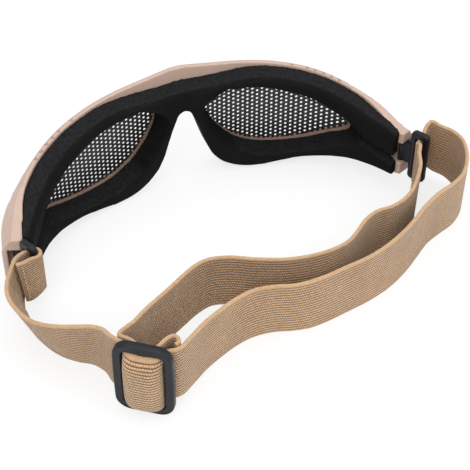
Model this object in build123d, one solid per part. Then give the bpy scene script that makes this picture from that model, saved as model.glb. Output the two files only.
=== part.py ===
from build123d import *
import math
import os

# Mesh safety goggles lying on a table, with the strap standing on its edge.
# X runs to the wearer's left, Y to the back of the head, Z up. Z = 0 is the table
# and X = 0 is the mirror plane of the goggles. All lengths are in millimetres.

# Outer face of the shell seen from above: a flat front arc and a tighter side arc
FRONT_RADIUS = 130.0
SIDE_RADIUS = 62.5
FRONT_SET_BACK = 9.0
SIDE_START = 23.6
SIDE_END = 68.0

# Shell
SHELL_HEIGHT = 51.3
WALL = 3.2
END_WALL = 7.0
THICKENING_START = 44.0
THICKENING_END = 60.0
BEVEL_WIDTH = 1.4
BEVEL_DROP = 2.4
LOWER_BEVEL = 0.8
SWELL = 2.4
SWELL_START = 33.0
SWELL_PEAK = 54.0
SWELL_END_SHARE = 0.1
FOOT_DEPTH = 0.3

# Hinge fork at each end of the shell
FORK_DEPTH = 8.0
FORK_OUTER_WALL = 1.8
RECESS_BASE = 12.0
RECESS_HEIGHT = 10.0
PIN_RADIUS = 1.1
PIN_CLEARANCE = 0.05
PIN_ENGAGEMENT = 2.0
PIN_END_GAP = 0.3
PIN_FROM_END = 2.2
PIN_FROM_OUTSIDE = 4.5

# Vent slots in the upper bevel
VENT_COUNT = 6
VENT_FIRST_ANGLE = 42.0
VENT_LAST_ANGLE = 63.0
VENT_LENGTH = 3.6
VENT_WIDTH = 1.0
VENT_DEPTH = 1.6

# Mesh lenses, each held in a rebate of the shell by a retaining ring
SHEET = 0.6
SHEET_SET_BACK = 0.9
HOLE_WIDTH = 1.55
HOLE_PITCH = 2.35
HOLE_MARGIN = 1.0
LENS_LAP = 1.5
FIT_GAP = 0.1
RING_DEPTH = 1.3

# Face foam, glued to the inner face of the shell
FOAM_DEPTH = 8.5
FOAM_INSET = 0.8
FOAM_DIP = 4.6
FOAM_DIP_SHARE = 0.46
FOAM_ROUND = 1.6
FOAM_END = 61.5
FOAM_WINDOW_MARGIN = -0.4
FOAM_GAP = 0.05
NOTCH_LENGTH = 17.0
NOTCH_MOUTH = 6.0
NOTCH_BASE = 11.5
NOTCH_TIP = 20.0

# Strap loop: a hinge pin, a tongue and a slotted ring
LOOP_HEIGHT = 24.0
LOOP_BAR = 2.5
LOOP_THICKNESS = 2.6
LOOP_SLOT = 2.7
LOOP_FIRST_BAR = 4.2
LOOP_ROUND = 0.9
TONGUE_THICKNESS = 2.0
SIDE_PLAY = 0.3
LEFT_LOOP_TURN = 48.0
RIGHT_LOOP_TURN = -8.0

# Strap slider
SLIDER_LENGTH = 21.5
SLIDER_BAR = 3.4
SLIDER_CENTRE_BAR = 3.2
SLIDER_THICKNESS = 3.6
SLIDER_CORNER = 5.5
SLIDER_ROUND = 0.9
SLIDER_SLACK = 0.5
SLIDER_TURN = 143.0
SLIDER_PLACE_SHARES = (0.662, 0.981)

# Strap
STRAP_WIDTH = 25.0
STRAP_THICKNESS = 1.5
STRAP_GAP = 0.35
STRAP_REACH = 110.0
SEAM_FROM_BAR = 8.0
TABLE_CUT = 0.5
BEND_STEP = 1.4
RUN_STEP = 4.5
TIGHT_TURN = 9.0
THREAD_FROM_SEAM = 1.2
THREAD_WIDTH = 0.5
THREAD_HEIGHT = 0.3

OVERRUN = 30.0


def turned(angle, along, across):
    """Plan offset with one part along a direction and one part to its left."""
    a = math.radians(angle)
    return (along * math.cos(a) - across * math.sin(a), along * math.sin(a) + across * math.cos(a))


def shell_point(angle, out=0.0):
    """Plan point of the shell's outer face where its tangent has this angle, moved outwards."""
    a, s = math.radians(angle), math.radians(SIDE_START)
    if abs(angle) <= SIDE_START:
        radius, centre = FRONT_RADIUS, (0.0, FRONT_RADIUS - FRONT_SET_BACK)
    else:
        step = FRONT_RADIUS - SIDE_RADIUS
        radius = SIDE_RADIUS
        centre = (math.copysign(step * math.sin(s), angle), FRONT_RADIUS - FRONT_SET_BACK - step * math.cos(s))
    return (centre[0] + (radius + out) * math.sin(a), centre[1] - (radius + out) * math.cos(a))


def shell_angle(x):
    """Tangent angle of the shell's outer face at this distance from the mirror plane."""
    s = math.radians(SIDE_START)
    if x <= FRONT_RADIUS * math.sin(s):
        return math.degrees(math.asin(x / FRONT_RADIUS))
    return math.degrees(math.asin(min(1.0, (x - (FRONT_RADIUS - SIDE_RADIUS) * math.sin(s)) / SIDE_RADIUS)))


HALF_WIDTH = shell_point(SIDE_END)[0]
LENS_BACK = SHEET_SET_BACK + FIT_GAP + SHEET


def wall_at(angle):
    """Wall of the shell, which thickens towards the hinge fork."""
    grown = (angle - THICKENING_START) / (THICKENING_END - THICKENING_START)
    grown = min(1.0, max(0.0, grown))
    return WALL + (END_WALL - WALL) * grown * grown * (3 - 2 * grown)


def swell_at(angle):
    """How far the shell's outer face swells out of its arc between the lens and the fork."""
    rise = min(1.0, max(0.0, (angle - SWELL_START) / (SWELL_PEAK - SWELL_START)))
    fall = max(0.0, (angle - SWELL_PEAK) / (SIDE_END - SWELL_PEAK))
    return SWELL * rise * rise * (3 - 2 * rise) * (1 - (1 - SWELL_END_SHARE) * fall * fall)


def bevel_at(angle):
    """Width and drop of the upper outer bevel, which grow with the wall and the swell."""
    grown = wall_at(angle) / WALL
    return BEVEL_WIDTH * grown, BEVEL_DROP * grown + swell_at(angle)


def smooth(rows, step_at):
    """Smooth curve through rows of numbers whose first two are a plan point.

    Returns the rows of the curve and the place in it of each row given."""
    spans = [math.hypot(b[0] - a[0], b[1] - a[1]) for a, b in zip(rows, rows[1:])]
    slopes = []
    for i, row in enumerate(rows):
        before, after = max(i - 1, 0), min(i, len(spans) - 1)
        h0, h1 = spans[before], spans[after]
        low, high = rows[max(i - 1, 0)], rows[min(i + 1, len(spans))]
        if i in (0, len(spans)):
            slopes.append([(q - p) / h0 if i else (q - p) / h1 for p, q in zip(low, high)])
        else:
            slopes.append([((q - p) / h0 * h1 + (r - q) / h1 * h0) / (h0 + h1)
                           for p, q, r in zip(low, row, high)])
    out, places = [], []
    for i, span in enumerate(spans):
        places.append(len(out))
        steps = max(1, math.ceil(span / step_at(i)))
        for k in range(steps):
            t = k / steps
            out.append(tuple(
                (2 * t ** 3 - 3 * t ** 2 + 1) * p + (3 * t ** 2 - 2 * t ** 3) * q
                + span * ((t ** 3 - 2 * t ** 2 + t) * u + (t ** 3 - t ** 2) * v)
                for p, q, u, v in zip(rows[i], rows[i + 1], slopes[i], slopes[i + 1])
            ))
    places.append(len(out))
    out.append(tuple(rows[-1]))
    return out, places


# Height of the shell's upper and lower edges, from the nose to the fork: distance from the
# mirror plane as a share of the half width, and heights as shares of the shell's height
EDGE_SHARES = [
    (0, 1, 0.642), (0.047, 0.996, 0.542), (0.082, 0.987, 0.405), (0.118, 0.979, 0.263),
    (0.18, 0.966, 0.119), (0.26, 0.956, 0.032), (0.33, 0.946, 0), (0.41, 0.932, 0),
    (0.51, 0.903, 0.039), (0.65, 0.839, 0.082), (0.78, 0.743, 0.105), (0.88, 0.655, 0.113),
    (0.95, 0.579, 0.117), (1, 0.526, 0.117),
]

# Outline of a lens opening seen from the front, as shares of half width and shell height
WINDOW_SHARES = [
    (0.122, 0.605), (0.148, 0.497), (0.205, 0.353), (0.288, 0.226), (0.39, 0.16), (0.5, 0.153),
    (0.615, 0.187), (0.715, 0.253), (0.785, 0.332), (0.705, 0.526), (0.55, 0.695), (0.38, 0.789),
    (0.24, 0.797), (0.155, 0.724),
]


def prism(points, low, high):
    """Solid whose outline, smooth through the points, is seen from the front."""
    face = make_face(Spline(*[(x, low, z) for x, z in points], periodic=True))
    return extrude(face, amount=high - low, dir=(0, 1, 0))


def window(grow, side):
    """Outline of a lens opening, moved outwards by a margin, for the left or right eye."""
    points = [(u * HALF_WIDTH, v * SHELL_HEIGHT) for u, v in WINDOW_SHARES]
    count = len(points)
    grown = []
    for i, (x, z) in enumerate(points):
        before, after = points[i - 1], points[(i + 1) % count]
        dx, dz = after[0] - before[0], after[1] - before[1]
        size = math.hypot(dx, dz)
        grown.append((side * (x + grow * dz / size), z - grow * dx / size))
    return grown


def band(out_far, out_near, base, top, end=SIDE_END):
    """Upright band that follows the shell in plan, between two distances from its outer face."""
    def edge(out, sign):
        a, b = SIDE_START, end
        return [
            ThreePointArc(shell_point(-sign * b, out), shell_point(-sign * (a + b) / 2, out),
                          shell_point(-sign * a, out)),
            ThreePointArc(shell_point(-sign * a, out), shell_point(0, out), shell_point(sign * a, out)),
            ThreePointArc(shell_point(sign * a, out), shell_point(sign * (a + b) / 2, out),
                          shell_point(sign * b, out)),
        ]
    lines = edge(out_far, 1) + [Line(shell_point(end, out_far), shell_point(end, out_near))]
    lines += edge(out_near, -1) + [Line(shell_point(-end, out_near), shell_point(-end, out_far))]
    return Pos(0, 0, base) * extrude(make_face(lines), amount=top - base)


def along_shell(section_at):
    """Left half of a body whose section changes along the shell, joined to its mirror image."""
    faces = []
    for across, top, low in EDGE_SHARES:
        angle = shell_angle(across * HALF_WIDTH)
        section = section_at(angle, top * SHELL_HEIGHT, low * SHELL_HEIGHT)
        corners = [(*shell_point(angle, out), z) for out, z in section]
        faces.append(make_face(Polyline(*corners, close=True)))
    half = loft(faces)
    return half + mirror(half, Plane.YZ)


def shell_section(angle, top, low):
    """Section of the shell: a wall with a bevelled upper outer edge."""
    wall, swell = wall_at(angle), swell_at(angle)
    width, drop = bevel_at(angle)
    return [
        (-wall, low), (swell - LOWER_BEVEL, low), (swell, low + LOWER_BEVEL), (swell, top - drop),
        (-width, top), (-wall, top),
    ]


def foam_section(angle, top, low):
    """Section of the foam: a block behind the wall, with rounded rear edges, lower at the nose."""
    near = max(0.0, 1 - shell_point(angle)[0] / (FOAM_DIP_SHARE * HALF_WIDTH))
    top -= FOAM_DIP * near * near * (3 - 2 * near)
    front = -wall_at(angle) - FOAM_GAP
    back = -WALL - FOAM_DEPTH
    return [
        (front, low + FOAM_INSET), (back + FOAM_ROUND, low + FOAM_INSET),
        (back, low + FOAM_INSET + FOAM_ROUND), (back, top - FOAM_INSET - 2 * FOAM_ROUND),
        (back + FOAM_ROUND, top - FOAM_INSET - FOAM_ROUND / 2), (front, top - FOAM_INSET),
    ]


def pivot(side):
    """Plan point of a strap loop's hinge axis."""
    a = math.radians(SIDE_END)
    x, y = shell_point(SIDE_END, -PIN_FROM_OUTSIDE)
    return (side * (x - PIN_FROM_END * math.cos(a)), y - PIN_FROM_END * math.sin(a))


def fork_place(side):
    """Location at a shell end: X along the shell to its end, Y inwards for the left side."""
    x, y = shell_point(SIDE_END)
    if side > 0:
        return Location((x, y, 0), (0, 0, SIDE_END))
    return Location((-x, y, 0), (0, 0, 180 - SIDE_END))


def block(x0, x1, y0, y1, z0, z1):
    """Box between two corners."""
    return Pos((x0 + x1) / 2, (y0 + y1) / 2, (z0 + z1) / 2) * Box(x1 - x0, y1 - y0, z1 - z0)


def make_shell():
    shell = along_shell(shell_section)
    for side in (1, -1):
        shell -= prism(window(0, side), -OVERRUN, OVERRUN + HALF_WIDTH)
        rebate = band(-SHEET_SET_BACK, -WALL - OVERRUN / 2, -OVERRUN, SHELL_HEIGHT + OVERRUN)
        shell -= rebate & prism(window(LENS_LAP, side), -OVERRUN, OVERRUN + HALF_WIDTH)
        inner = (FORK_OUTER_WALL, END_WALL + OVERRUN / 2)
        if side < 0:
            inner = (-inner[1], -inner[0])
        recess = block(-FORK_DEPTH, OVERRUN, *inner, RECESS_BASE, RECESS_BASE + RECESS_HEIGHT)
        shell -= fork_place(side) * recess
        seat = Cylinder(PIN_RADIUS + PIN_CLEARANCE, RECESS_HEIGHT + 2 * (PIN_ENGAGEMENT + PIN_END_GAP))
        shell -= Pos(*pivot(side), RECESS_BASE + RECESS_HEIGHT / 2) * seat
        for i in range(VENT_COUNT):
            angle = VENT_FIRST_ANGLE + (VENT_LAST_ANGLE - VENT_FIRST_ANGLE) * i / (VENT_COUNT - 1)
            shell -= vent(angle, side)
    shell -= block(-OVERRUN - HALF_WIDTH, HALF_WIDTH + OVERRUN, -OVERRUN, OVERRUN + HALF_WIDTH, -OVERRUN, FOOT_DEPTH)
    return Pos(0, 0, -FOOT_DEPTH) * shell


def edge_height(angle):
    """Height of the shell's upper edge at an angle."""
    x = shell_point(angle)[0] / HALF_WIDTH
    for (a, top_a, _), (b, top_b, _) in zip(EDGE_SHARES, EDGE_SHARES[1:]):
        if a <= x <= b:
            return SHELL_HEIGHT * (top_a + (top_b - top_a) * (x - a) / (b - a))
    return SHELL_HEIGHT * EDGE_SHARES[-1][1]


def vent(angle, side):
    """Cutter for one vent slot, which crosses the bevel of the upper edge."""
    slot = Box(VENT_WIDTH, VENT_LENGTH, 2 * VENT_DEPTH)
    width, drop = bevel_at(angle)
    swell = swell_at(angle)
    x, y = shell_point(angle, (swell - width) / 2)
    tilt = math.degrees(math.atan2(drop, width + swell))
    place = Location((x, y, edge_height(angle) - drop / 2), (0, 0, angle))
    placed = place * Rot(tilt, 0, 0) * slot
    return placed if side > 0 else mirror(placed, Plane.YZ)


def make_lens(side):
    sheet = band(-SHEET_SET_BACK - FIT_GAP, -LENS_BACK, -OVERRUN, SHELL_HEIGHT + OVERRUN)
    outline = window(LENS_LAP - FIT_GAP, side)
    margin = window(-HOLE_MARGIN, side)
    column = HOLE_PITCH * math.sqrt(3) / 2
    holes = []
    columns = int(HALF_WIDTH / column)
    rows = int(SHELL_HEIGHT / HOLE_PITCH)
    for i in range(1, columns):
        for j in range(rows):
            x, z = side * i * column, (j + (i % 2) / 2) * HOLE_PITCH
            if inside(margin, x, z):
                plane = Plane(origin=(x, -OVERRUN, z), z_dir=(0, 1, 0))
                holes.append(Wire.make_circle(HOLE_WIDTH / 2, plane))
    edge = Wire([Spline(*[(x, -OVERRUN, z) for x, z in outline], periodic=True)])
    netting = extrude(Face(edge, holes), amount=OVERRUN + HALF_WIDTH, dir=(0, 1, 0))
    return Pos(0, 0, -FOOT_DEPTH) * (sheet & netting)


def inside(outline, x, z):
    """Whether a point of the front view lies inside an outline."""
    hit = False
    for i, (x1, z1) in enumerate(outline):
        x0, z0 = outline[i - 1]
        if (z0 > z) != (z1 > z) and x < x0 + (x1 - x0) * (z - z0) / (z1 - z0):
            hit = not hit
    return hit


def make_ring(side):
    front = -LENS_BACK - FIT_GAP
    ring = band(front, front - RING_DEPTH, -OVERRUN, SHELL_HEIGHT + OVERRUN)
    ring &= prism(window(LENS_LAP - FIT_GAP, side), -OVERRUN, OVERRUN + HALF_WIDTH)
    ring -= prism(window(0, side), -2 * OVERRUN, 2 * OVERRUN + HALF_WIDTH)
    return Pos(0, 0, -FOOT_DEPTH) * ring


def make_foam():
    foam = along_shell(foam_section)
    for side in (1, -1):
        foam -= prism(window(FOAM_WINDOW_MARGIN, side), -OVERRUN, OVERRUN + HALF_WIDTH)
        x, y = shell_point(FOAM_END, -WALL - FOAM_DEPTH)
        tip = (0, y - NOTCH_LENGTH, NOTCH_TIP)
        reach = (NOTCH_LENGTH + OVERRUN) / NOTCH_LENGTH
        corners = [(0, y - NOTCH_LENGTH * (1 - reach), NOTCH_TIP + (z - NOTCH_TIP) * reach)
                   for z in (NOTCH_BASE, NOTCH_BASE + NOTCH_MOUTH)]
        slit = extrude(make_face(Polyline(tip, *corners, close=True)), amount=HALF_WIDTH, dir=(side, 0, 0))
        foam -= Pos(side * HALF_WIDTH / 2, 0, 0) * slit
        x, y = shell_point(FOAM_END)
        end = block(0, OVERRUN, -OVERRUN, OVERRUN, -OVERRUN, SHELL_HEIGHT + OVERRUN)
        cut = Location((x, y, 0), (0, 0, FOAM_END)) * end
        foam -= cut if side > 0 else mirror(cut, Plane.YZ)
    return Pos(0, 0, -FOOT_DEPTH) * foam


LOOP_MIDDLE = RECESS_BASE + RECESS_HEIGHT / 2 - FOOT_DEPTH
LOOP_BAR_CENTRE = LOOP_FIRST_BAR + LOOP_BAR + LOOP_SLOT + LOOP_BAR / 2
LOOP_WIDTH = 2 * LOOP_BAR + LOOP_SLOT


def loop_direction(side):
    """Angle in plan of a strap loop, from its pin to its ring."""
    return SIDE_END + LEFT_LOOP_TURN if side > 0 else 180 - SIDE_END - RIGHT_LOOP_TURN


def make_loop(side):
    ring = Pos(LOOP_FIRST_BAR + LOOP_WIDTH / 2, 0, 0) * Box(LOOP_WIDTH, LOOP_THICKNESS, LOOP_HEIGHT)
    slot = Box(LOOP_SLOT, OVERRUN, LOOP_HEIGHT - 2 * LOOP_BAR)
    ring = fillet(ring.edges().filter_by(Axis.Y), LOOP_BAR * 0.8)
    ring -= Pos(LOOP_FIRST_BAR + LOOP_WIDTH / 2, 0, 0) * slot
    ring = fillet(ring.edges().filter_by(Axis.Z), LOOP_ROUND)
    tongue_height = RECESS_HEIGHT - 2 * SIDE_PLAY
    tongue = block(0, LOOP_FIRST_BAR + LOOP_BAR / 2, -TONGUE_THICKNESS / 2, TONGUE_THICKNESS / 2,
                   -tongue_height / 2, tongue_height / 2)
    barrel = Cylinder(PIN_RADIUS, RECESS_HEIGHT + 2 * PIN_ENGAGEMENT)
    loop = ring + tongue + barrel
    return Location((*pivot(side), LOOP_MIDDLE), (0, 0, loop_direction(side))) * loop


SLIDER_WIDTH = STRAP_WIDTH + 2 * SLIDER_SLACK + 2 * SLIDER_BAR
SLIDER_CENTRE = (SLIDER_PLACE_SHARES[0] * HALF_WIDTH, SLIDER_PLACE_SHARES[1] * STRAP_REACH)


def make_slider():
    outline = RectangleRounded(SLIDER_LENGTH, SLIDER_WIDTH, SLIDER_CORNER)
    body = extrude(outline, amount=SLIDER_THICKNESS / 2, both=True)
    opening = SLIDER_LENGTH / 2 - SLIDER_BAR - SLIDER_CENTRE_BAR / 2
    for side in (1, -1):
        middle = side * (SLIDER_CENTRE_BAR + opening) / 2
        slot = Box(opening, STRAP_WIDTH + 2 * SLIDER_SLACK, SLIDER_THICKNESS + OVERRUN)
        body -= Pos(middle, 0, 0) * slot
    body = fillet(body.edges().filter_by(Plane.XY), SLIDER_ROUND)
    placed = Location((*SLIDER_CENTRE, SLIDER_WIDTH / 2), (0, 0, SLIDER_TURN))
    return placed * Rot(90, 0, 0) * body


def at_slider(x, y):
    """Plan point from the slider's centre: along it, and behind it."""
    dx, dy = turned(SLIDER_TURN, x, y)
    return (SLIDER_CENTRE[0] + dx, SLIDER_CENTRE[1] + dy)


def at_loop(side, u, w):
    """Plan point from a loop's hinge axis: out along the loop, and across it."""
    dx, dy = turned(loop_direction(side), u, w)
    x, y = pivot(side)
    return (x + dx, y + dy)


# The strap's route is one list of rows: plan point of the lower edge, its height, how far
# the upper edge leans along X and Y as shares of the width, and the width there
LAYER = STRAP_THICKNESS + STRAP_GAP
BUNCHED = LOOP_HEIGHT - 2 * LOOP_BAR - 2 * STRAP_GAP
BUNCHED_SHARE = BUNCHED / STRAP_WIDTH
IN_SLIDER = (SLIDER_WIDTH - STRAP_WIDTH) / 2


def lower_row(point, height, lean, width):
    """Row of the route from a plan point and height at the middle of the strap's width."""
    rise = math.sqrt(1 - lean[0] ** 2 - lean[1] ** 2)
    return (point[0] - lean[0] * width / 2, point[1] - lean[1] * width / 2, height - rise * width / 2,
            *lean, width)


def table_rows(table):
    """Rows of the route from shares of half width, strap reach and strap width."""
    return [(x * HALF_WIDTH, y * STRAP_REACH, z * STRAP_WIDTH - TABLE_CUT, lean_x, lean_y, STRAP_WIDTH)
            for x, y, z, lean_x, lean_y in table]


# Seam behind the left loop: lean of both layers, and how they open round the outer bar.
# Each share row holds the width, the lean, and the place between bar and seam
SEAM_LEAN_SHARES = (0.1, 0.17)
FOLD_SHARES = [(0.98, 1.0, 1.0), (0.93, 0.7, 0.75), (0.82, 0.1, 0.38)]


def left_fold_rows():
    """From the cut end beside the seam, round the outer bar of the loop, back to the seam."""
    half_layer = (STRAP_THICKNESS + FIT_GAP) / 2
    reach_u = LOOP_BAR / 2 + STRAP_GAP + STRAP_THICKNESS / 2
    reach_w = LOOP_THICKNESS / 2 + STRAP_GAP + STRAP_THICKNESS / 2
    def leg(way):
        rows = []
        for width, lean, place in FOLD_SHARES:
            spread = half_layer + (reach_u - half_layer) * math.sqrt(1 - place ** 2)
            point = at_loop(1, LOOP_BAR_CENTRE + way * spread, -SEAM_FROM_BAR * place)
            leaning = (SEAM_LEAN_SHARES[0] * lean, SEAM_LEAN_SHARES[1] * lean)
            rows.append(lower_row(point, LOOP_MIDDLE, leaning, width * STRAP_WIDTH))
        return rows
    bend = []
    for degrees in (0, 45, 90, 135, 180):
        a = math.radians(degrees)
        point = at_loop(1, LOOP_BAR_CENTRE + reach_u * math.cos(a), reach_w * math.sin(a))
        bend.append(lower_row(point, LOOP_MIDDLE, (0, 0), BUNCHED))
    return leg(1) + bend + leg(-1)[::-1]


LEFT_SHARES = [
    (0.967, 0.425, 0.06, 0.17, 0.2), (0.967, 0.456, 0.03, 0.25, 0.19), (0.963, 0.497, 0.01, 0.31, 0.19),
    (0.957, 0.547, 0, 0.3, 0.22), (0.937, 0.598, 0, 0.25, 0.29), (0.91, 0.645, 0, 0.17, 0.28),
    (0.878, 0.681, 0, 0.09, 0.25), (0.833, 0.714, 0, 0.04, 0.2), (0.783, 0.747, 0.02, 0.02, 0.16),
    (0.745, 0.795, 0.09, 0.01, 0.08),
]
FRONT_SHARES = [
    (0.37, 0.911, 0.04, 0, 0), (0.29, 0.875, 0, 0, 0), (0.2, 0.847, 0, 0, 0), (0.11, 0.832, 0, 0, 0),
    (0.01, 0.838, 0, 0.02, 0.02), (-0.07, 0.857, 0, 0.03, 0.02), (-0.14, 0.867, 0, 0.02, 0),
    (-0.21, 0.864, 0, 0.03, 0), (-0.33, 0.849, 0, 0.05, 0.01), (-0.45, 0.831, 0, 0.07, 0.03),
    (-0.55, 0.807, 0, 0.08, 0.03), (-0.67, 0.76, 0, 0.12, 0.06), (-0.775, 0.704, 0, 0.18, 0.12),
    (-0.86, 0.659, 0, 0.18, 0.12), (-0.942, 0.633, 0, 0.16, 0.08), (-1.018, 0.611, 0, 0.14, 0.08),
    (-1.075, 0.58, 0, 0.1, 0.1), (-1.125, 0.534, 0, 0.07, 0.11), (-1.157, 0.482, 0.02, 0.03, 0.09),
    (-1.16, 0.43, 0.06, -0.02, 0.06), (-1.14, 0.388, 0.1, -0.02, 0.05), (-1.103, 0.357, 0.14, 0, 0.04),
]
INNER_SHARES = [
    (-0.915, 0.455, 0.1, -0.04, 0.03), (-0.895, 0.497, 0.05, -0.04, 0.02), (-0.868, 0.537, 0.02, -0.02, 0),
    (-0.832, 0.574, 0, 0, 0), (-0.79, 0.606, 0, 0, 0), (-0.73, 0.635, 0, 0, 0), (-0.66, 0.651, 0, 0, 0),
    (-0.585, 0.653, 0, 0, 0), (-0.518, 0.674, 0, 0, 0), (-0.45, 0.714, 0, 0, 0), (-0.385, 0.747, 0, 0, 0),
    (-0.31, 0.761, 0, 0, 0), (-0.21, 0.762, 0, 0, 0), (-0.1, 0.746, 0, 0, 0), (0.03, 0.704, 0, 0, 0),
    (0.13, 0.663, 0, 0, 0), (0.205, 0.648, 0, 0, 0), (0.275, 0.663, 0, -0.03, -0.04),
    (0.355, 0.695, 0, -0.05, -0.06), (0.45, 0.737, 0.01, -0.04, -0.04), (0.56, 0.787, 0.05, 0, 0),
    (0.625, 0.829, 0.1, 0, 0),
]

# Curl through the right loop, from outside to inside: place out along the loop and across it
# as shares of the loop's height, and how far the strap has opened from bunched to full width
TURN_SHARES = [
    (0.3, 0.39, 0.9), (0.27, 0.28, 0.55), (0.295, 0.175, 0.2), (0.33, 0.08, 0.0), (0.335, 0.0, 0.0),
    (0.34, -0.08, 0.0), (0.37, -0.155, 0.25), (0.44, -0.21, 0.7),
]


def right_turn_rows():
    rows = []
    for u, w, opened in TURN_SHARES:
        width = BUNCHED + (STRAP_WIDTH - BUNCHED) * opened
        rows.append(lower_row(at_loop(-1, u * LOOP_HEIGHT, w * LOOP_HEIGHT), LOOP_MIDDLE, (0, 0), width))
    return rows


# Layers in the slider, seen from above: the end of the strap wraps the centre bar, and the
# running strap crosses over it. Places along and behind the slider follow from the fits
WRAP_X = SLIDER_CENTRE_BAR / 2 + STRAP_GAP + STRAP_THICKNESS / 2
WRAP_Y = SLIDER_THICKNESS / 2 + STRAP_GAP + STRAP_THICKNESS / 2
RUN_X = WRAP_X + LAYER
RUN_Y = WRAP_Y + LAYER
OVER_SHARES = [(1.06, 0.28), (1.0, -0.18), (0.93, -0.65), (0.6, -1.0), (0.0, -1.07)]
ARRIVAL_SHARES = [(-0.61, 0.293), (-0.44, 0.205), (-0.32, 0.14)]
DEPARTURE_SHARES = [(0.222, 0.17), (0.24, 0.31), (0.3, 0.415), (0.4, 0.53), (0.52, 0.65)]
END_ARRIVAL_SHARES = [(-0.49, 0.35), (-0.35, 0.288), (-0.228, 0.228)]
WRAP_SHARES = [(1.12, 0.95), (1.0, 0.32), (1.0, -0.35), (0.84, -0.85), (0.44, -1.02), (0.0, -1.05)]
TAIL_SHARES = [(0.122, 0.135), (0.062, 0.23), (0.01, 0.34), (0.025, 0.465), (0.095, 0.568),
               (0.175, 0.63), (0.26, 0.645), (0.325, 0.605)]


def slider_rows(points, heights=None):
    heights = heights or [IN_SLIDER] * len(points)
    return [(*at_slider(x, y), z, 0, 0, STRAP_WIDTH) for (x, y), z in zip(points, heights)]


def both_ways(shares, along, behind):
    """Points before and after the middle of the slider."""
    first = [(-x * along, y * behind) for x, y in shares]
    return first + [(-x, y) for x, y in first[-2::-1]]


def scaled(shares):
    return [(x * SLIDER_LENGTH, y * SLIDER_LENGTH) for x, y in shares]


def route():
    """The whole strap with its named stretches, each as a list of rows."""
    over = both_ways(OVER_SHARES, RUN_X, RUN_Y)
    rising = [IN_SLIDER * share for share in (0.8, 0.95, 1.0)]
    falling = [IN_SLIDER * share for share in (1.0, 0.95, 0.85, 0.65, 0.45)]
    parts = [
        ("strap_left_fold", left_fold_rows()),
        ("strap_left_stretch", table_rows(LEFT_SHARES) + slider_rows(scaled(ARRIVAL_SHARES), rising)),
        ("strap_over_bar", slider_rows(over)),
        ("strap_front_band", slider_rows(scaled(DEPARTURE_SHARES), falling) + table_rows(FRONT_SHARES)),
        ("strap_right_turn", right_turn_rows()),
        ("strap_inner_band", table_rows(INNER_SHARES) + slider_rows(scaled(END_ARRIVAL_SHARES), rising)),
        ("strap_end_wrap", slider_rows(both_ways(WRAP_SHARES, WRAP_X, WRAP_Y) + scaled(TAIL_SHARES))),
    ]
    rows = [row for _, part in parts for row in part]
    tight = {"strap_left_fold", "strap_over_bar", "strap_right_turn", "strap_end_wrap"}
    steps = [BEND_STEP if name in tight else RUN_STEP for name, part in parts for _ in part]
    curve, places = smooth(rows, lambda i: steps[i])
    sections = [strap_section(curve, i) for i in range(len(curve))]
    pieces, start = {}, 0
    for name, part in parts:
        count = start + len(part)
        first = places[start] if name in tight or not start else places[start - 1]
        last = places[min(count, len(rows) - 1)] if name not in tight else places[count - 1]
        pieces[name] = sections[first:last + 1]
        start = count
    return pieces


def strap_section(curve, i):
    """Four corners of the strap's cross-section at one row of the curve."""
    lower, upper = strap_edges(curve[i])
    one, two = curve[max(i - 1, 0)], curve[min(i + 1, len(curve) - 1)]
    start = [sum(pair) for pair in zip(*strap_edges(one))]
    end = [sum(pair) for pair in zip(*strap_edges(two))]
    along = Vector(*[b - a for a, b in zip(start, end)])
    across = upper - lower
    half = along.cross(across).normalized() * (STRAP_THICKNESS / 2)
    return [lower - half, lower + half, upper + half, upper - half]


def strap_edges(row):
    x, y, z, lean_x, lean_y, width = row
    rise = math.sqrt(1 - lean_x ** 2 - lean_y ** 2)
    return Vector(x, y, z), Vector(x + lean_x * width, y + lean_y * width, z + rise * width)


def strap_solid(sections):
    faces = [make_face(Polyline(*section, close=True)) for section in sections]
    solid = loft(faces, ruled=True)
    under = block(-2 * HALF_WIDTH, 2 * HALF_WIDTH, -HALF_WIDTH, 2 * STRAP_REACH, -OVERRUN, 0)
    return solid - under


def make_thread(fold):
    """Seam thread: a thin raised line across the flap, near its cut end."""
    cut_end, later = fold[0], fold[1]
    along = (later[1] - cut_end[1]).normalized()
    out = (cut_end[1] - cut_end[0]).normalized()
    faces = []
    for distance in (THREAD_FROM_SEAM, THREAD_FROM_SEAM + THREAD_WIDTH):
        corners = []
        for rise, share in ((0, 0.06), (THREAD_HEIGHT, 0.06), (THREAD_HEIGHT, 0.94), (0, 0.94)):
            edge = cut_end[1] + (cut_end[2] - cut_end[1]) * share
            corners.append(edge + along * distance + out * (rise + FIT_GAP))
        faces.append(make_face(Polyline(*corners, close=True)))
    return loft(faces, ruled=True)


os.makedirs("parts", exist_ok=True)
nodes = {"frame": make_shell(), "foam_pad": make_foam(), "strap_slider": make_slider()}
for side, name in ((1, "left"), (-1, "right")):
    nodes[name + "_mesh_lens"] = make_lens(side)
    nodes[name + "_lens_retainer"] = make_ring(side)
    nodes[name + "_strap_loop"] = make_loop(side)
pieces = route()
for name, sections in pieces.items():
    nodes[name] = strap_solid(sections)
nodes["strap_left_stitching"] = make_thread(pieces["strap_left_fold"])
for name, shape in nodes.items():
    solids = shape.solids()
    print(name, "solids", len(solids), "volume", round(shape.volume, 1), "valid", shape.is_valid)
    export_step(shape, "parts/" + name + ".step")
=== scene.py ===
import math
import random

import bmesh
import bpy
from mathutils import Matrix, Vector, noise


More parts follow.
